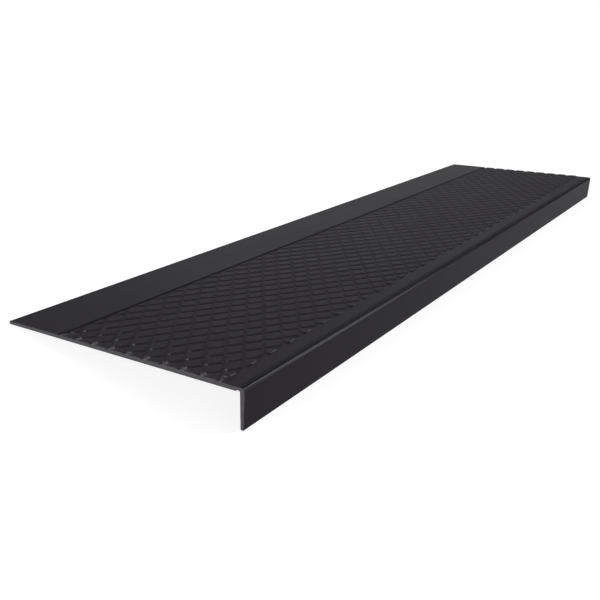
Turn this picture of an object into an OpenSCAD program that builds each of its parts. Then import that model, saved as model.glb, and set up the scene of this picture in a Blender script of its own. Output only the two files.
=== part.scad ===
// Rubber stair tread: a flat tread plate with a diamond grip field and a square nosing flange.
// It is one moulding. It lies as it comes to rest on a level floor, on the lower edge of its
// nosing flange and on its thin rear edge, with the wearing side up.
// X runs along the nosing, Y from the nosing to the rear edge, Z up.

/* [Tread] */
// Length along the nosing
tread_length = 1219.2; // [300:1:1830]
// Depth from the front of the nosing to the rear edge
tread_depth = 311.15; // [240:1:360]
// Thickness at the rear edge
rear_thickness = 3.4; // [2.4:0.1:6]
// Thickness under the smooth strip behind the nosing
front_thickness = 4.4; // [3:0.1:7]

/* [Nosing] */
// Height from the underside of the flange to the smooth strip above it
nose_height = 41.8; // [25:0.1:60]
// Thickness of the flange where it leaves the plate
flange_root = 5.2; // [3.5:0.1:8]
// Thickness of the flange at its lower edge
flange_tip = 3.4; // [2:0.1:6]
// How far the front of the lower edge stands behind the front of the nosing
nose_setback = 2.7; // [0:0.1:6]
// Radius of the nosing's front edge
nose_radius = 4; // [1:0.1:6]
// Width of the hinge groove under the plate, next to the flange
hinge_width = 4.4; // [2:0.1:8]
// Depth of the hinge groove
hinge_depth = 1.3; // [0.5:0.1:2]

/* [Grip field] */
// Depth of the smooth strip between the nosing and the grip field
front_strip = 26.5; // [12:0.5:60]
// Depth of the smooth strip along the rear edge
rear_strip = 74.6; // [10:0.1:100]
// Length of a diamond, from one groove crossing to the next along X
diamond_length = 32; // [20:0.5:50]
// Width of a diamond, from one groove crossing to the next along Y
diamond_width = 23; // [15:0.5:40]
// Height of the diamond pads above the groove floor
pad_height = 1.1; // [0.5:0.1:2]
// Width of the groove floor between two pads
groove_floor = 0.6; // [0.2:0.1:5]
// How far each sloped pad wall leans out from its top edge to its foot
wall_run = 2.9; // [0.5:0.1:4]
// Width of the groove floor between the grip field and the rear strip
border_floor = 2; // [1:0.1:5]
// How far the walls along the field's front and rear lines lean out
border_run = 1.1; // [0.3:0.1:2]

/* [Hidden] */
NOSE_STEPS = 24;
HINGE_STEPS = 10;
// How deep the pads are rooted in the plate
pad_root = 0.5 * pad_height;

// Section levels, with the pad tops and the rear strip at zero
floor_z = -pad_height;
front_under_z = floor_z - front_thickness;
rear_under_z = -rear_thickness;
tip_z = floor_z - nose_height;

// Front face of the flange, which leans back from the vertical
lean = atan(nose_setback / nose_height);
nose_arc_y = nose_radius * (1 / cos(lean) + tan(lean));
nose_arc_z = floor_z - nose_radius;

// Rear face of the flange, from its lower edge up to the plate
tip_back_y = nose_setback + flange_tip;
hinge_y = flange_root;
hinge_radius = (pow(hinge_width / 2, 2) + pow(hinge_depth, 2)) / (2 * hinge_depth);
hinge_half_angle = asin(hinge_width / 2 / hinge_radius);

// Grip field between its front line and the groove along the rear strip
field_front = front_strip;
rear_strip_y = tread_depth - rear_strip;
field_back = rear_strip_y - border_floor - 2 * border_run;
field_depth = field_back - field_front;
groove_turn = atan(diamond_width / diamond_length);
groove_reach = field_depth / sin(groove_turn) + diamond_length;
first_groove = -ceil((tread_length / 2 + field_depth / tan(groove_turn)) / diamond_length);
last_groove = ceil(tread_length / 2 / diamond_length);

// Lean of the whole tread as it rests on the flange's lower edge and the rear edge
rest_angle = atan((rear_under_z - tip_z) / (tread_depth - tip_back_y));
rest_height = -(tip_z * cos(rest_angle) - tip_back_y * sin(rest_angle));
front_reach = nose_setback * cos(rest_angle) + tip_z * sin(rest_angle);
rear_reach = tread_depth * cos(rest_angle);
rest_shift = -(front_reach + rear_reach) / 2;

// Points of an arc in the YZ section, from one angle to another
function arc(centre, radius, from, to, steps) =
    [for (i = [0:steps])
        let (a = from + (to - from) * i / steps)
        centre + radius * [cos(a), sin(a)]];

// A YZ outline drawn out along X, from one place to another
module along_x(from, to) {
    translate([from, 0, 0])
        rotate([90, 0, 90])
            linear_extrude(to - from)
                children();
}

// Section of the plate and the flange, without the diamond pads
module section() {
    nose_arc = arc([nose_arc_y, nose_arc_z], nose_radius, 180 + lean, 90, NOSE_STEPS);
    hinge_arc = arc([hinge_y + hinge_width / 2, front_under_z + hinge_depth - hinge_radius],
        hinge_radius, 90 - hinge_half_angle, 90 + hinge_half_angle, HINGE_STEPS);
    polygon(concat(
        [[nose_setback, tip_z]],
        nose_arc,
        [[rear_strip_y - border_run, floor_z],
         [rear_strip_y, 0],
         [tread_depth, 0],
         [tread_depth, rear_under_z]],
        hinge_arc,
        [[tip_back_y, tip_z]]
    ));
}

// One row of parallel grooves with sloped walls, each from the field's front line to its back.
// Side 1 runs to the right and side -1 to the left.
module grooves(side) {
    for (i = [first_groove:last_groove])
        translate([side * i * diamond_length, field_front, floor_z])
            rotate([0, 0, 90 - side * (90 - groove_turn)])
                along_x(-diamond_length, groove_reach)
                    polygon([
                        [-groove_floor / 2, -2 * pad_root],
                        [groove_floor / 2, -2 * pad_root],
                        [groove_floor / 2, 0],
                        [groove_floor / 2 + 2 * wall_run, 2 * pad_height],
                        [-groove_floor / 2 - 2 * wall_run, 2 * pad_height],
                        [-groove_floor / 2, 0]
                    ]);
}

// Diamond pads: a low slab with sloped front and rear walls, cut by two rows of grooves.
// Its root goes a little way into the plate, so that the pads grow out of it.
module pads() {
    difference() {
        difference() {
            along_x(-tread_length / 2, tread_length / 2)
                polygon([
                    [field_front - border_run, floor_z - pad_root],
                    [field_front - border_run, floor_z],
                    [field_front, 0],
                    [field_back, 0],
                    [field_back + border_run, floor_z],
                    [field_back + border_run, floor_z - pad_root]
                ]);
            grooves(1);
        }
        grooves(-1);
    }
}

// The moulded tread, laid as it rests
module tread() {
    color("#34343a")
        translate([0, rest_shift, rest_height])
            rotate([-rest_angle, 0, 0])
                union() {
                    along_x(-tread_length / 2, tread_length / 2)
                        section();
                    pads();
                }
}

tread();
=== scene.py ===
import math

import bmesh
import bpy
from mathutils import Matrix, Vector
from mathutils.geometry import delaunay_2d_cdt


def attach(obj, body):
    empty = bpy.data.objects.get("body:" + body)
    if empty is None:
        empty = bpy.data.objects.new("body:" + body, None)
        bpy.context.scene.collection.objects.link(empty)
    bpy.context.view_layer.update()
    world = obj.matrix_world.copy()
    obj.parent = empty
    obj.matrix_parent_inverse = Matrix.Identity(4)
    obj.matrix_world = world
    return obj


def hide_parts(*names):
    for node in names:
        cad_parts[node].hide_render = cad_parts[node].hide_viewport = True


# A rubber stair tread with a raised diamond field, lying on the floor on its nosing flange and
# its rear edge. The moulding is meshed again here with rounded edges, from the same sizes.

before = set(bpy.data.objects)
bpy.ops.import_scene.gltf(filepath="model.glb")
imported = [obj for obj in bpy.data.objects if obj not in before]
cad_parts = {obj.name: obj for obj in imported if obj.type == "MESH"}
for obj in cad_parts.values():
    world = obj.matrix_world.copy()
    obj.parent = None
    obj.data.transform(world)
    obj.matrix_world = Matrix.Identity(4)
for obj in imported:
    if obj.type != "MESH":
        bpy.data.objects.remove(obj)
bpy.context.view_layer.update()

# Sizes of the moulding, in metres, as the part has them
MM = 0.001
TREAD_LENGTH = 1219.2 * MM
TREAD_DEPTH = 311.15 * MM
REAR_THICKNESS = 3.4 * MM
FRONT_THICKNESS = 4.4 * MM
NOSE_HEIGHT = 41.8 * MM
FLANGE_ROOT = 5.2 * MM
FLANGE_TIP = 3.4 * MM
NOSE_SETBACK = 2.7 * MM
NOSE_RADIUS = 4.0 * MM
HINGE_WIDTH = 4.4 * MM
HINGE_DEPTH = 1.3 * MM
FRONT_STRIP = 26.5 * MM
REAR_STRIP = 74.6 * MM
DIAMOND_LENGTH = 32.0 * MM
DIAMOND_WIDTH = 23.0 * MM
PAD_HEIGHT = 1.1 * MM
GROOVE_FLOOR = 0.6 * MM
WALL_RUN = 2.9 * MM
BORDER_FLOOR = 2.0 * MM
BORDER_RUN = 1.1 * MM

# Roundings of the moulded edges, which the part's source leaves sharp
PAD_TOP_ROUND = 2.5 * MM
PAD_FOOT_ROUND = 0.30 * MM
PAD_CORNER_ROUND = 1.6 * MM
PAD_CORNER_PIECES = 3
PAD_ARC_STEP = math.radians(11)
STRIP_EDGE_ROUND = 0.35 * MM
REAR_EDGE_ROUND = 0.6 * MM
TIP_EDGE_ROUND = 0.7 * MM
HINGE_EDGE_ROUND = 0.5 * MM
ARC_STEP = math.radians(9)
NOSE_STEPS = 24
HINGE_STEPS = 10

# Mesh work: the stub at an outline's end, which only sets the direction there, how far the mesh
# runs past the ends before it is cut, and the distances below which points are the same
STUB = 1.0 * MM
MESH_OVERRUN = 2 * DIAMOND_LENGTH
JOIN_DISTANCE = 1e-6
CUT_DISTANCE = 1e-7
FILL_DISTANCE = 1e-8

# Shading: the angle from which an edge stays sharp, the weight that lets large faces set the
# normals, and the cut ends' place among the tread's materials
SHARP_ANGLE = math.radians(35)
LARGE_FACE_WEIGHT = 100
CUT_INDEX = 1

# Levels and lines of the section, with the pad tops and the rear strip at zero
HALF_LENGTH = TREAD_LENGTH / 2
FLOOR_Z = -PAD_HEIGHT
TIP_Z = FLOOR_Z - NOSE_HEIGHT
FRONT_UNDER_Z = FLOOR_Z - FRONT_THICKNESS
FIELD_FRONT = FRONT_STRIP
REAR_STRIP_Y = TREAD_DEPTH - REAR_STRIP
FIELD_BACK = REAR_STRIP_Y - BORDER_FLOOR - 2 * BORDER_RUN
BORDER_SLOPE = BORDER_RUN / WALL_RUN
TIP_BACK_Y = NOSE_SETBACK + FLANGE_TIP

# The nosing's rounded edge: the lean of the flange's front face, and the middle of the rounding
NOSE_LEAN = math.atan(NOSE_SETBACK / NOSE_HEIGHT)
NOSE_CENTRE_Y = NOSE_RADIUS * (1 / math.cos(NOSE_LEAN) + math.tan(NOSE_LEAN))
NOSE_CENTRE_Z = FLOOR_Z - NOSE_RADIUS

# How the tread lies: it leans back until its rear edge meets the floor
REST_ANGLE = math.atan((-REAR_THICKNESS - TIP_Z) / (TREAD_DEPTH - TIP_BACK_Y))
REST_COS = math.cos(REST_ANGLE)
REST_SIN = math.sin(REST_ANGLE)
REST_HEIGHT = TIP_BACK_Y * REST_SIN - TIP_Z * REST_COS
FRONT_REACH = NOSE_SETBACK * REST_COS + TIP_Z * REST_SIN
REST_SHIFT = -(FRONT_REACH + TREAD_DEPTH * REST_COS) / 2
LAY_DOWN = Matrix.Translation((0, REST_SHIFT, REST_HEIGHT)) @ Matrix.Rotation(-REST_ANGLE, 4, "X")

# Camera: where it stands, the way it looks and the way up its picture goes
CAMERA_PLACE = Vector((-1.0978, -0.4894, 0.3819))
CAMERA_LOOK = Vector((0.80441, 0.44727, -0.39099))
CAMERA_UP = Vector((0.27994, 0.29511, 0.91353))
CAMERA_SENSOR = 36
CAMERA_LENS = 46.815
CAMERA_SHIFT = (-0.03521, 0.00537)
CAMERA_CLIP = (0.01, 100)

# Light: the sky's level by the height of the direction, and soft lights in it, each with its
# azimuth from +Y to +X, elevation, spread in degrees and level at the middle
SKY_STOPS = [(0.0, 0.75), (0.02, 0.66), (0.05, 0.34), (0.14, 0.34),
             (0.25, 0.26), (0.42, 0.11), (0.5, 0.03), (1.0, 0.03)]
SOFT_LIGHTS = [
    (110, 40, 10, 5.87),
    (110, 40, 5, 21.74),
    (122, 23, 6, 8.0),
    (121.5, 9, 3.5, 6.0),
    (127, 9, 4.5, 8.0),
    (130, 14, 10, 3.0),
    (50, 40, 10, 5.44),
    (290, 2, 20, 18.5),
    (70, 5, 5, 2.4),
    (60, 5, 5, 1.85),
    (50, 2, 5, 2.79),
    (70, 40, 5, 0.16),
    (70, 30, 5, 0.26),
    (195, 12, 20, 4.0),
    (12, 38, 8, 5.0),
]

# Darker side of the sky: azimuth, elevation and spread as above, and how much it darkens
DARK_SIDE = (100, 14, 28, 0.95)

# The floor that the tread lies on: its half width, its grey and the level that lifts it to white
STAGE_REACH = 60
STAGE_COLOUR = 0.32
STAGE_LIFT = 0.82

# Colours of the moulded rubber, of the pale painted light near the cut ends and of the cut ends
RUBBER_COLOUR = (0.0160, 0.0139, 0.0176)
PAINTED_LIGHT_COLOUR = (0.105, 0.100, 0.108)
CUT_COLOUR = (0.0493, 0.0471, 0.0509)
RUBBER_SPECULAR = 0.05
CUT_SPECULAR = 0.2

# Roughness of the rubber and of the nosing's polished edge, and what is added to the rubber's in
# the scuffed band behind that edge, on the wall along the grip field's front line, in the grooves
# and in the groove along the rear strip
RUBBER_ROUGHNESS = 0.55
EDGE_ROUGHNESS = 0.13
SCUFFING = 0.14
WALL_SMOOTHING = -0.32
GROOVE_DULLING = 0.065
BORDER_DULLING = 0.3

# The polished line on the nosing: its angle round the rounding, from the top, and how far to each
# side it reaches and is whole
EDGE_CREST = math.radians(55)
EDGE_REACH = 1.5 * MM
EDGE_CORE = 0.7 * EDGE_REACH

# How much darker the rubber's colour is on the narrow line behind the nosing's polished edge,
# a painted dark reflection
PAINTED_REFLECTION_DARKENING = 0.35

# Where the finish changes, as soft steps from the place where a change is nil to where it is whole.
# Behind means along the tread's depth and above means its height.
SCUFF_BEHIND = (11.0 * MM, 6.0 * MM)
SCUFF_ABOVE = (FLOOR_Z - 1.2 * MM, FLOOR_Z - 0.6 * MM)
# Where the dark reflection is painted, on the line behind the nosing's polished edge
PAINTED_REFLECTION_START = (0.6 * MM, 1.6 * MM)
PAINTED_REFLECTION_END = (7.0 * MM, 4.5 * MM)
PAINTED_REFLECTION_ABOVE = (FLOOR_Z - 2.0 * MM, FLOOR_Z - 1.0 * MM)
WALL_START = (FIELD_FRONT - BORDER_RUN + 0.1 * MM, FIELD_FRONT - BORDER_RUN + 0.5 * MM)
WALL_END = (FIELD_FRONT + 0.8 * MM, FIELD_FRONT + 0.2 * MM)
GROOVE_DEPTH = (-0.1 * PAD_HEIGHT, -0.4 * PAD_HEIGHT)
BORDER_START = (FIELD_BACK, FIELD_BACK + BORDER_RUN)
BORDER_END = (REAR_STRIP_Y + 0.4 * MM, REAR_STRIP_Y - 0.2 * MM)
FIELD_FADE = 1.0 * MM

# Painted light near the cut ends, a pale colour that stands in for light reaching the grooves and
# the walls there: how deep in a groove and how near to the cut end it lies, and on which walls it
# shows, by how far they face the end and how near they are to it
PAINTED_LIGHT_DEPTH = (-0.6 * PAD_HEIGHT, -0.97 * PAD_HEIGHT)
PAINTED_LIGHT_NEAR_END = (12 * MM, 1 * MM)
PAINTED_LIGHT_FACING = (0.27, 0.34)
PAINTED_LIGHT_WALL_NEAR_END = (55 * MM, 12 * MM)

# Noises: scale per metre, detail and, for the drag marks and the saw marks, how they are stretched
CLOUDS = (7.0, 3.0)
DRAG_MARKS = (60.0, 3.0, (0.06, 1, 1))
SPECKS = (650.0, 2.0)
PAINTED_LIGHT_GRAIN = (420.0, 2.0)
BROAD_GRAIN = (45.0, 2.0)
FINE_GRAIN = (1500.0, 1.0)
SAW_MARKS = (900.0, 3.0, (1, 1, 0.15))
CUT_CLOUDS = (70.0, 2.0)

# What the noises do, as the range of the noise and the range that it is turned into
CLOUD_SHADE = (0.3, 0.7, 0.93, 1.06)
DRAG_SHADE = (0.3, 0.7, -0.05, 0.05)
SPECK_SHADE = (0.35, 0.65, -0.04, 0.04)
CLOUD_ROUGHNESS = (0.3, 0.7, RUBBER_ROUGHNESS - 0.015, RUBBER_ROUGHNESS + 0.015)
DRAG_ROUGHNESS = (0.35, 0.7, -0.01, 0.015)
PAINTED_LIGHT_STRENGTH = (0.25, 0.6, 0.55, 1.0)
SAW_SHADE = (0.3, 0.7, 0.9, 1.1)
CUT_CLOUD_SHADE = (0.3, 0.7, -0.07, 0.07)
CUT_ROUGHNESS = (0.3, 0.7, 0.76, 0.86)

# Depth and strength of the relief that the grains and the saw marks give
FINE_RELIEF = (0.01 * MM, 0.6)
BROAD_RELIEF = (0.03 * MM, 0.7)
SAW_RELIEF = (0.04 * MM, 0.6)


# Outlines

def rounded(points, radii, step):
    """A YZ outline whose corners are replaced by arcs of the given radii."""
    out = []
    count = len(points)
    for i, radius in enumerate(radii):
        here = Vector(points[i])
        if radius == 0 or i in (0, count - 1):
            out.append(here)
            continue
        back = (Vector(points[i - 1]) - here).normalized()
        ahead = (Vector(points[i + 1]) - here).normalized()
        half = back.angle(ahead) / 2
        reach = radius / math.tan(half)
        centre = here + (back + ahead).normalized() * radius / math.sin(half)
        first = here + back * reach - centre
        last = here + ahead * reach - centre
        turn = first.angle_signed(last)
        pieces = max(1, math.ceil(abs(turn) / step))
        for k in range(pieces + 1):
            angle = -turn * k / pieces
            out.append(centre + Matrix.Rotation(angle, 2) @ first)
    return out


def hinge_outline():
    """The hinge groove's arc without its two ends, from the plate to the flange."""
    half_width = HINGE_WIDTH / 2
    radius = (half_width ** 2 + HINGE_DEPTH ** 2) / (2 * HINGE_DEPTH)
    centre = Vector((FLANGE_ROOT + half_width, FRONT_UNDER_Z + HINGE_DEPTH - radius))
    half = math.asin(half_width / radius)
    arc = []
    for k in range(1, HINGE_STEPS):
        angle = half - 2 * half * k / HINGE_STEPS
        arc.append(centre + radius * Vector((math.sin(angle), math.cos(angle))))
    return arc


def nose_outline():
    """The nosing's rounded edge, from the flange's front face to the strip above it."""
    centre = Vector((NOSE_CENTRE_Y, NOSE_CENTRE_Z))
    sweep = math.pi / 2 + NOSE_LEAN
    arc = []
    for k in range(NOSE_STEPS + 1):
        angle = math.pi + NOSE_LEAN - sweep * k / NOSE_STEPS
        arc.append(centre + NOSE_RADIUS * Vector((math.cos(angle), math.sin(angle))))
    return arc


def section_outline():
    """The YZ section from the foot of the rear strip round to the top of the nosing."""
    hinge = hinge_outline()
    border_foot = REAR_STRIP_Y - BORDER_RUN
    strip_to_hinge = rounded(
        [(border_foot - STUB, FLOOR_Z), (border_foot, FLOOR_Z), (REAR_STRIP_Y, 0), (TREAD_DEPTH, 0),
         (TREAD_DEPTH, -REAR_THICKNESS), (FLANGE_ROOT + HINGE_WIDTH, FRONT_UNDER_Z), tuple(hinge[0])],
        [0, PAD_FOOT_ROUND, STRIP_EDGE_ROUND, REAR_EDGE_ROUND, REAR_EDGE_ROUND / 2, HINGE_EDGE_ROUND, 0],
        ARC_STEP)
    hinge_to_tip = rounded(
        [tuple(hinge[-1]), (FLANGE_ROOT, FRONT_UNDER_Z), (TIP_BACK_Y, TIP_Z),
         (NOSE_SETBACK, TIP_Z), (0, FLOOR_Z)],
        [0, 0, TIP_EDGE_ROUND, TIP_EDGE_ROUND, 0],
        ARC_STEP)
    return strip_to_hinge[1:-1] + hinge + hinge_to_tip[1:-1] + nose_outline()


def wall_profile():
    """A pad wall from the floor to the top, as (how far out from the top edge, height)."""
    points = [(WALL_RUN + STUB, FLOOR_Z), (WALL_RUN, FLOOR_Z), (0, 0), (-STUB, 0)]
    return rounded(points, [0, PAD_FOOT_ROUND, PAD_TOP_ROUND, 0], PAD_ARC_STEP)[1:-1]


# Diamond pads

class Side:
    """One side of a pad: the line where normal . p = distance, and how far its foot leans out."""

    def __init__(self, normal, distance, slope):
        self.normal = Vector(normal)
        self.distance = distance
        self.slope = slope

    def at(self, out):
        """The line's distance at a level that stands out from the top edge by out."""
        return self.distance + out * self.slope


def meet(a, b, out):
    """Where two sides cross, at a level that stands out from the top edge by out."""
    det = a.normal.x * b.normal.y - a.normal.y * b.normal.x
    da, db = a.at(out), b.at(out)
    return Vector(((da * b.normal.y - db * a.normal.y) / det,
                   (db * a.normal.x - da * b.normal.x) / det))


def clip(sides, cut):
    """The ring of sides, cut by one more side."""
    count = len(sides)
    inside = [cut.normal.dot(meet(sides[i], sides[(i + 1) % count], 0)) < cut.distance - CUT_DISTANCE
              for i in range(count)]
    if all(inside):
        return sides
    ring = []
    for i, side in enumerate(sides):
        before, after = inside[i - 1], inside[i]
        if before or after:
            ring.append(side)
        if before and not after:
            ring.append(cut)
    return ring


def pad_sides(centre):
    """The sides of the pad at a lattice place, cut by the field's front and rear lines."""
    diagonal = math.hypot(DIAMOND_LENGTH, DIAMOND_WIDTH)
    nx, ny = DIAMOND_WIDTH / diagonal, DIAMOND_LENGTH / diagonal
    reach = DIAMOND_LENGTH * DIAMOND_WIDTH / diagonal / 2 - GROOVE_FLOOR / 2 - WALL_RUN
    sides = []
    for normal in ((nx, ny), (-nx, ny), (-nx, -ny), (nx, -ny)):
        sides.append(Side(normal, Vector(normal).dot(centre) + reach, 1))
    for cut in (Side((0, -1), -FIELD_FRONT, BORDER_SLOPE), Side((0, 1), FIELD_BACK, BORDER_SLOPE)):
        sides = clip(sides, cut)
    return sides


def pad_ring(sides, out):
    """The pad's outline at one level, with its corners rounded, anticlockwise."""
    ring = []
    radius = PAD_CORNER_ROUND + out
    for i, side in enumerate(sides):
        following = sides[(i + 1) % len(sides)]
        turn = side.normal.angle(following.normal)
        inward = (side.normal + following.normal).normalized() * radius / math.cos(turn / 2)
        centre = meet(side, following, out) - inward
        for k in range(PAD_CORNER_PIECES + 1):
            swing = Matrix.Rotation(turn * k / PAD_CORNER_PIECES, 2)
            ring.append(centre + radius * (swing @ side.normal))
    return ring


def all_pads():
    """The sides of every pad in the field, those that the ends cut through among them."""
    pads = []
    columns = math.ceil(HALF_LENGTH / DIAMOND_LENGTH * 2)
    rows = math.ceil((FIELD_BACK - FIELD_FRONT) / DIAMOND_WIDTH * 2) + 1
    for column in range(-columns, columns + 1):
        for row in range(-1, rows + 1):
            if (column + row) % 2 == 0:
                continue
            centre = Vector((column * DIAMOND_LENGTH / 2, FIELD_FRONT + row * DIAMOND_WIDTH / 2))
            sides = pad_sides(centre)
            if len(sides) > 2:
                pads.append(sides)
    return pads


# The tread's mesh

def add_pads(bm, pads, profile):
    """Each pad's walls and top, as rings joined one above the other."""
    for sides in pads:
        rings = []
        for out, z in profile:
            rings.append([bm.verts.new((p.x, p.y, z)) for p in pad_ring(sides, out)])
        for low, high in zip(rings, rings[1:]):
            for i in range(len(low)):
                j = (i + 1) % len(low)
                bm.faces.new((low[i], low[j], high[j], high[i]))
        bm.faces.new(rings[-1])


def add_groove_floor(bm, pads, foot, y_from, y_to):
    """The level floor of the field and the front strip, with a hole for each pad, whose walls
    reach out as far as foot there."""
    reach = HALF_LENGTH + MESH_OVERRUN
    points = [Vector((-reach, y_from)), Vector((reach, y_from)),
              Vector((reach, y_to)), Vector((-reach, y_to))]
    edges = [(0, 1), (1, 2), (2, 3), (3, 0)]
    for sides in pads:
        start = len(points)
        ring = pad_ring(sides, foot)
        points.extend(ring)
        for i in range(len(ring)):
            j = (i + 1) % len(ring)
            edges.append((start + i, start + j))
    found, _, faces, _, _, _ = delaunay_2d_cdt(points, edges, [], 0, FILL_DISTANCE)
    verts = [bm.verts.new((p.x, p.y, FLOOR_Z)) for p in found]
    bins = pads_by_place(pads, foot)
    for face in faces:
        middle = sum((found[k] for k in face), Vector((0, 0))) / len(face)
        if not in_a_pad(middle, bins):
            bm.faces.new([verts[k] for k in face])


def pads_by_place(pads, foot):
    """The pads' feet in bins along X, so that a point is tested against its neighbours alone."""
    bins = {}
    for sides in pads:
        ring = pad_ring(sides, foot)
        first = math.floor(min(p.x for p in ring) / DIAMOND_LENGTH)
        last = math.floor(max(p.x for p in ring) / DIAMOND_LENGTH)
        for k in range(first, last + 1):
            bins.setdefault(k, []).append(ring)
    return bins


def in_a_pad(point, bins):
    """Whether the point lies inside the foot of a pad."""
    for ring in bins.get(math.floor(point.x / DIAMOND_LENGTH), []):
        count = len(ring)
        if all((ring[(i + 1) % count] - ring[i]).cross(point - ring[i]) > 0 for i in range(count)):
            return True
    return False


def add_skin(bm, outline):
    """The rest of the section, drawn out from end to end."""
    reach = HALF_LENGTH + MESH_OVERRUN
    left = [bm.verts.new((-reach, p.x, p.y)) for p in outline]
    right = [bm.verts.new((reach, p.x, p.y)) for p in outline]
    for i in range(len(outline) - 1):
        bm.faces.new((left[i], right[i], right[i + 1], left[i + 1]))


def cut_ends(bm):
    """Cuts the tread to length and closes each end with one flat face."""
    for side in (-1, 1):
        end = side * HALF_LENGTH
        everything = bm.verts[:] + bm.edges[:] + bm.faces[:]
        bmesh.ops.bisect_plane(bm, geom=everything, dist=CUT_DISTANCE, plane_co=(end, 0, 0),
                               plane_no=(side, 0, 0), clear_outer=True)
        rim = [edge for edge in bm.edges if edge.is_boundary
               and all(abs(vert.co.x - end) < JOIN_DISTANCE for vert in edge.verts)]
        for face in bmesh.ops.holes_fill(bm, edges=rim, sides=0)["faces"]:
            face.material_index = CUT_INDEX


def to_object(bm, name):
    """Turns a mesh under work into an object of the scene."""
    mesh = bpy.data.meshes.new(name)
    bm.to_mesh(mesh)
    bm.free()
    piece = bpy.data.objects.new(name, mesh)
    bpy.context.scene.collection.objects.link(piece)
    return piece


def make_tread():
    """The whole moulding as one closed mesh, laid down as it rests."""
    outline = section_outline()
    profile = wall_profile()
    pads = all_pads()
    bm = bmesh.new()
    add_pads(bm, pads, profile)
    add_groove_floor(bm, pads, profile[0][0], outline[-1].x, outline[0].x)
    add_skin(bm, outline)
    bmesh.ops.remove_doubles(bm, verts=bm.verts, dist=JOIN_DISTANCE)
    cut_ends(bm)
    bmesh.ops.recalc_face_normals(bm, faces=bm.faces)
    open_edges = sum(1 for edge in bm.edges if not edge.is_manifold)
    triangles = sum(len(face.verts) - 2 for face in bm.faces)
    print("tread mesh:", len(pads), "pads,", triangles, "triangles,", open_edges, "open edges")
    bmesh.ops.transform(bm, matrix=LAY_DOWN, verts=bm.verts)
    return to_object(bm, "tread_moulding")


def smooth(piece):
    """Shades the small roundings smooth and keeps the large faces flat."""
    piece.data.shade_smooth()
    piece.data.set_sharp_from_angle(angle=SHARP_ANGLE)
    weighted = piece.modifiers.new("weighted_normals", "WEIGHTED_NORMAL")
    weighted.keep_sharp = True
    weighted.weight = LARGE_FACE_WEIGHT


# Materials

class Graph:
    """Short ways to add nodes to a material's or a world's tree."""

    def __init__(self, tree, coordinates):
        self.nodes = tree.nodes
        self.links = tree.links
        self.place = self.add("ShaderNodeTexCoord").outputs[coordinates]

    def add(self, kind):
        return self.nodes.new(kind)

    def feed(self, socket, value):
        """Links a value to a socket, or sets the socket to it where it is a plain number."""
        if isinstance(value, bpy.types.NodeSocket):
            self.links.new(value, socket)
        else:
            socket.default_value = value

    def surface(self, name, value):
        """Feeds one input of the material's own shader."""
        self.feed(self.nodes["Principled BSDF"].inputs[name], value)

    def math(self, operation, *values):
        node = self.add("ShaderNodeMath")
        node.operation = operation
        for socket, value in zip(node.inputs, values):
            self.feed(socket, value)
        return node.outputs[0]

    def vector(self, operation, output, *values):
        node = self.add("ShaderNodeVectorMath")
        node.operation = operation
        for socket, value in zip(node.inputs, values):
            self.feed(socket, value)
        return node.outputs[output]

    def split(self, vector):
        node = self.add("ShaderNodeSeparateXYZ")
        self.links.new(vector, node.inputs[0])
        return node.outputs

    def span(self, value, start, end, low=0.0, high=1.0):
        """The value taken smoothly from low at start to high at end, and level beyond them."""
        node = self.add("ShaderNodeMapRange")
        node.interpolation_type = "SMOOTHSTEP"
        for name, given in (("Value", value), ("From Min", start), ("From Max", end),
                            ("To Min", low), ("To Max", high)):
            self.feed(node.inputs[name], given)
        return node.outputs["Result"]

    def between(self, value, start, end):
        """1 between two soft steps, and 0 before the first and after the second."""
        return self.math("MULTIPLY", self.span(value, *start), self.span(value, *end))

    def noise(self, scale, detail, stretch=(1, 1, 1)):
        place = self.vector("MULTIPLY", "Vector", self.place, Vector(stretch))
        node = self.add("ShaderNodeTexNoise")
        node.inputs["Scale"].default_value = scale
        node.inputs["Detail"].default_value = detail
        self.links.new(place, node.inputs["Vector"])
        return node.outputs["Fac"]

    def mix(self, share, first, second):
        node = self.add("ShaderNodeMix")
        node.data_type = "RGBA"
        self.feed(node.inputs["Factor"], share)
        self.feed(node.inputs["A"], first)
        self.feed(node.inputs["B"], second)
        return node.outputs["Result"]

    def shade_by(self, colour, factor):
        """The colour multiplied by a grey factor."""
        node = self.add("ShaderNodeVectorMath")
        node.operation = "SCALE"
        self.feed(node.inputs[0], colour)
        self.feed(node.inputs["Scale"], factor)
        return node.outputs["Vector"]

    def bump(self, height, depth, strength, before=None):
        """A normal bent by a height, on top of the relief before it where there is one."""
        node = self.add("ShaderNodeBump")
        node.inputs["Distance"].default_value = depth
        node.inputs["Strength"].default_value = strength
        self.links.new(height, node.inputs["Height"])
        if before is not None:
            self.links.new(before, node.inputs["Normal"])
        return node.outputs["Normal"]


def new_material(name):
    """A material and the graph of its nodes."""
    material = bpy.data.materials.new(name)
    material.use_nodes = True
    return material, Graph(material.node_tree, "Object")


def along(graph, direction):
    """How far a point lies along a direction of the tread before it was laid down."""
    laid = LAY_DOWN.to_3x3() @ Vector(direction)
    start = laid.dot(LAY_DOWN.translation)
    return graph.math("SUBTRACT", graph.vector("DOT_PRODUCT", "Value", graph.place, laid), start)


def behind_nose(graph):
    """How far a point lies behind the front of the nosing, along the tread's depth."""
    return along(graph, (0, 1, 0))


def above_pads(graph):
    """How high a point lies above the pad tops."""
    return along(graph, (0, 0, 1))


def in_the_field(graph, back):
    """1 between the grip field's front line and a line at its back, and 0 outside them."""
    start = (FIELD_FRONT, FIELD_FRONT + FIELD_FADE)
    return graph.between(behind_nose(graph), start, (back, back - FIELD_FADE))


def grooves(graph):
    """1 on the groove floors and the pad walls of the grip field, and 0 elsewhere."""
    depth = graph.span(above_pads(graph), *GROOVE_DEPTH)
    return graph.math("MULTIPLY", depth, in_the_field(graph, FIELD_BACK))


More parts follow.
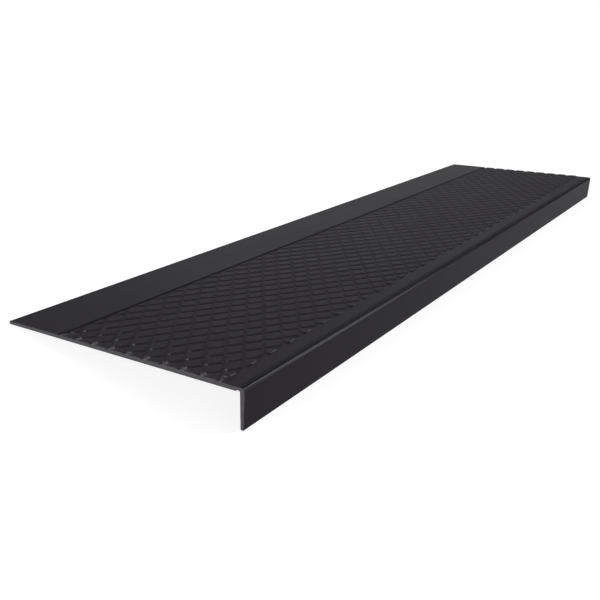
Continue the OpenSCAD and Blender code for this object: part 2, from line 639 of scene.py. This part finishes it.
def border_groove(graph):
    """1 in the groove between the grip field and the rear strip, and 0 elsewhere."""
    return graph.between(behind_nose(graph), BORDER_START, BORDER_END)


def field_front_wall(graph):
    """1 on the wall along the grip field's front line, and 0 elsewhere."""
    return graph.between(behind_nose(graph), WALL_START, WALL_END)


def scuffed_band(graph):
    """1 on the strip just behind the nosing's edge, which feet have scuffed matt, and 0 elsewhere."""
    behind = graph.span(behind_nose(graph), *SCUFF_BEHIND)
    return graph.math("MULTIPLY", behind, graph.span(above_pads(graph), *SCUFF_ABOVE))


def painted_dark_reflection(graph):
    """1 on the narrow line between the nosing's polished edge and the strip, where a dark
    reflection is painted into the colour, and 0 elsewhere.
    """
    line = graph.between(behind_nose(graph), PAINTED_REFLECTION_START, PAINTED_REFLECTION_END)
    return graph.math("MULTIPLY", line, graph.span(above_pads(graph), *PAINTED_REFLECTION_ABOVE))


def polished_edge(graph):
    """1 along the middle of the nosing's rounded edge, which feet have polished, and 0 elsewhere."""
    crest = Vector((0, NOSE_CENTRE_Y - NOSE_RADIUS * math.sin(EDGE_CREST),
                    NOSE_CENTRE_Z + NOSE_RADIUS * math.cos(EDGE_CREST)))
    across = graph.vector("MULTIPLY", "Vector", graph.place, Vector((0, 1, 1)))
    distance = graph.vector("DISTANCE", "Value", across, LAY_DOWN @ crest)
    return graph.span(distance, EDGE_REACH, EDGE_CORE)


def painted_end_light(graph):
    """Where pale painted light lies near the cut ends, standing in for light that reaches the grooves
    and the walls that face out.
    """
    along_tread = graph.split(graph.place)["X"]
    inside = graph.math("SUBTRACT", HALF_LENGTH, graph.math("ABSOLUTE", along_tread))
    depth = graph.span(above_pads(graph), *PAINTED_LIGHT_DEPTH)
    in_groove = graph.math("MULTIPLY", depth, graph.span(inside, *PAINTED_LIGHT_NEAR_END))
    normal = graph.add("ShaderNodeNewGeometry").outputs["Normal"]
    facing = graph.math("MULTIPLY", graph.split(normal)["X"], graph.math("SIGN", along_tread))
    wall = graph.span(facing, *PAINTED_LIGHT_FACING)
    on_wall = graph.math("MULTIPLY", wall, graph.span(inside, *PAINTED_LIGHT_WALL_NEAR_END))
    either = graph.math("MAXIMUM", in_groove, on_wall)
    in_field = graph.math("MULTIPLY", either, in_the_field(graph, REAR_STRIP_Y))
    return graph.math("MULTIPLY", in_field, graph.span(graph.noise(*PAINTED_LIGHT_GRAIN), *PAINTED_LIGHT_STRENGTH))


def rubber_colour(graph, clouds, drag):
    """Black with faint clouds, drag marks and specks, a painted dark reflection behind the nosing,
    and pale painted light near the cut ends.
    """
    shade = graph.math("ADD", graph.span(clouds, *CLOUD_SHADE), graph.span(drag, *DRAG_SHADE))
    shade = graph.math("ADD", shade, graph.span(graph.noise(*SPECKS), *SPECK_SHADE))
    # Painted dark reflection: the colour is darkened on the line behind the nosing's edge
    line = graph.math("MULTIPLY", painted_dark_reflection(graph), -PAINTED_REFLECTION_DARKENING)
    shade = graph.math("MULTIPLY", shade, graph.math("ADD", line, 1.0))
    # Pale painted light near the cut ends, mixed over the rubber's colour
    return graph.mix(painted_end_light(graph), graph.shade_by(RUBBER_COLOUR, shade), (*PAINTED_LIGHT_COLOUR, 1))


def rubber_roughness(graph, clouds, drag, edge):
    """Matt, changed in the scuffed band, on the field's front wall and in the grooves, and smooth
    on the polished edge."""
    rough = graph.math("ADD", graph.span(clouds, *CLOUD_ROUGHNESS), graph.span(drag, *DRAG_ROUGHNESS))
    for place, change in ((scuffed_band, SCUFFING), (field_front_wall, WALL_SMOOTHING),
                          (grooves, GROOVE_DULLING), (border_groove, BORDER_DULLING)):
        rough = graph.math("ADD", rough, graph.math("MULTIPLY", place(graph), change))
    polish = graph.math("MULTIPLY", edge, graph.math("SUBTRACT", EDGE_ROUGHNESS, rough))
    return graph.math("ADD", rough, polish)


def rubber_material():
    """Moulded black rubber with a fine grain, which the nosing's polished edge has lost."""
    material, graph = new_material("rubber")
    clouds = graph.noise(*CLOUDS)
    drag = graph.noise(*DRAG_MARKS)
    edge = polished_edge(graph)
    graph.surface("Base Color", rubber_colour(graph, clouds, drag))
    graph.surface("Roughness", rubber_roughness(graph, clouds, drag, edge))
    graph.surface("Specular IOR Level", RUBBER_SPECULAR)
    unpolished = graph.math("SUBTRACT", 1.0, edge)
    fine = graph.math("MULTIPLY", graph.noise(*FINE_GRAIN), unpolished)
    broad = graph.math("MULTIPLY", graph.noise(*BROAD_GRAIN), unpolished)
    graph.surface("Normal", graph.bump(broad, *BROAD_RELIEF, graph.bump(fine, *FINE_RELIEF)))
    return material


def cut_material():
    """The sawn ends: paler, dull, with fine upright saw marks."""
    material, graph = new_material("cut_rubber")
    marks = graph.noise(*SAW_MARKS)
    clouds = graph.noise(*CUT_CLOUDS)
    shade = graph.math("ADD", graph.span(marks, *SAW_SHADE), graph.span(clouds, *CUT_CLOUD_SHADE))
    graph.surface("Base Color", graph.shade_by(CUT_COLOUR, shade))
    graph.surface("Roughness", graph.span(clouds, *CUT_ROUGHNESS))
    graph.surface("Specular IOR Level", CUT_SPECULAR)
    graph.surface("Normal", graph.bump(marks, *SAW_RELIEF))
    return material


# Stage, light and camera

def grey(level):
    """An opaque grey of the given level."""
    return (level, level, level, 1)


def seen_directly(graph):
    """1 for rays from the camera and for rays that mirror or pass through, 0 for the rest."""
    rays = graph.add("ShaderNodeLightPath").outputs
    mirrored = graph.math("MAXIMUM", rays["Is Camera Ray"], rays["Is Glossy Ray"])
    return graph.math("MAXIMUM", mirrored, rays["Is Transmission Ray"])


def floor_material():
    """Dull grey that takes the tread's shadow, lifted to white where it is seen."""
    material, graph = new_material("floor")
    graph.surface("Base Color", grey(STAGE_COLOUR))
    graph.surface("Roughness", 1.0)
    graph.surface("Specular IOR Level", 0.0)
    graph.surface("Emission Color", grey(1))
    graph.surface("Emission Strength", graph.math("MULTIPLY", seen_directly(graph), STAGE_LIFT))
    return material


def make_floor():
    """The level floor under the tread, which isn't part of it."""
    bm = bmesh.new()
    bmesh.ops.create_grid(bm, x_segments=1, y_segments=1, size=STAGE_REACH)
    floor = to_object(bm, "floor")
    floor.data.materials.append(floor_material())


def soft_light(graph, azimuth, elevation, spread, level):
    """A round soft light in the sky, as a level by direction."""
    lift = Matrix.Rotation(math.radians(elevation), 3, "X")
    middle = Matrix.Rotation(-math.radians(azimuth), 3, "Z") @ lift @ Vector((0, 1, 0))
    narrow = 1 / (1 - math.cos(math.radians(spread)))
    aim = graph.vector("DOT_PRODUCT", "Value", graph.place, middle)
    fall = graph.math("EXPONENT", graph.math("MULTIPLY_ADD", aim, narrow, -narrow))
    return graph.math("MULTIPLY", fall, level)


def make_world():
    """A studio sky, lighter at the horizon, with soft lights in it. The camera sees it white."""
    world = bpy.data.worlds.new("studio")
    bpy.context.scene.world = world
    world.use_nodes = True
    graph = Graph(world.node_tree, "Generated")
    ramp = graph.add("ShaderNodeValToRGB")
    graph.feed(ramp.inputs["Fac"], graph.split(graph.place)["Z"])
    # The ramp has its first and its last stop already
    stops = ramp.color_ramp.elements
    for height, _ in SKY_STOPS[1:-1]:
        stops.new(height)
    for stop, (_, level) in zip(stops, SKY_STOPS):
        stop.color = grey(level)
    bright = graph.math("SUBTRACT", 1.0, soft_light(graph, *DARK_SIDE))
    total = graph.math("MULTIPLY", ramp.outputs["Color"], bright)
    for light in SOFT_LIGHTS:
        total = graph.math("ADD", total, soft_light(graph, *light))
    seen = graph.add("ShaderNodeLightPath").outputs["Is Camera Ray"]
    graph.feed(graph.nodes["Background"].inputs["Color"], graph.mix(seen, total, grey(1)))


def make_camera():
    """The camera, where it stood for the photo."""
    data = bpy.data.cameras.new("camera")
    data.sensor_fit = "HORIZONTAL"
    data.sensor_width = CAMERA_SENSOR
    data.lens = CAMERA_LENS
    data.shift_x, data.shift_y = CAMERA_SHIFT
    data.clip_start, data.clip_end = CAMERA_CLIP
    camera = bpy.data.objects.new("camera", data)
    bpy.context.scene.collection.objects.link(camera)
    back = -CAMERA_LOOK.normalized()
    right = CAMERA_UP.cross(back).normalized()
    up = back.cross(right)
    turn = Matrix((right, up, back)).transposed().to_4x4()
    camera.matrix_world = Matrix.Translation(CAMERA_PLACE) @ turn
    bpy.context.scene.camera = camera


tread = make_tread()
smooth(tread)
tread.data.materials.append(rubber_material())
tread.data.materials.append(cut_material())
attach(tread, "root")
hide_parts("tread")
make_floor()
make_world()
make_camera()
bpy.context.scene.view_settings.view_transform = "Standard"
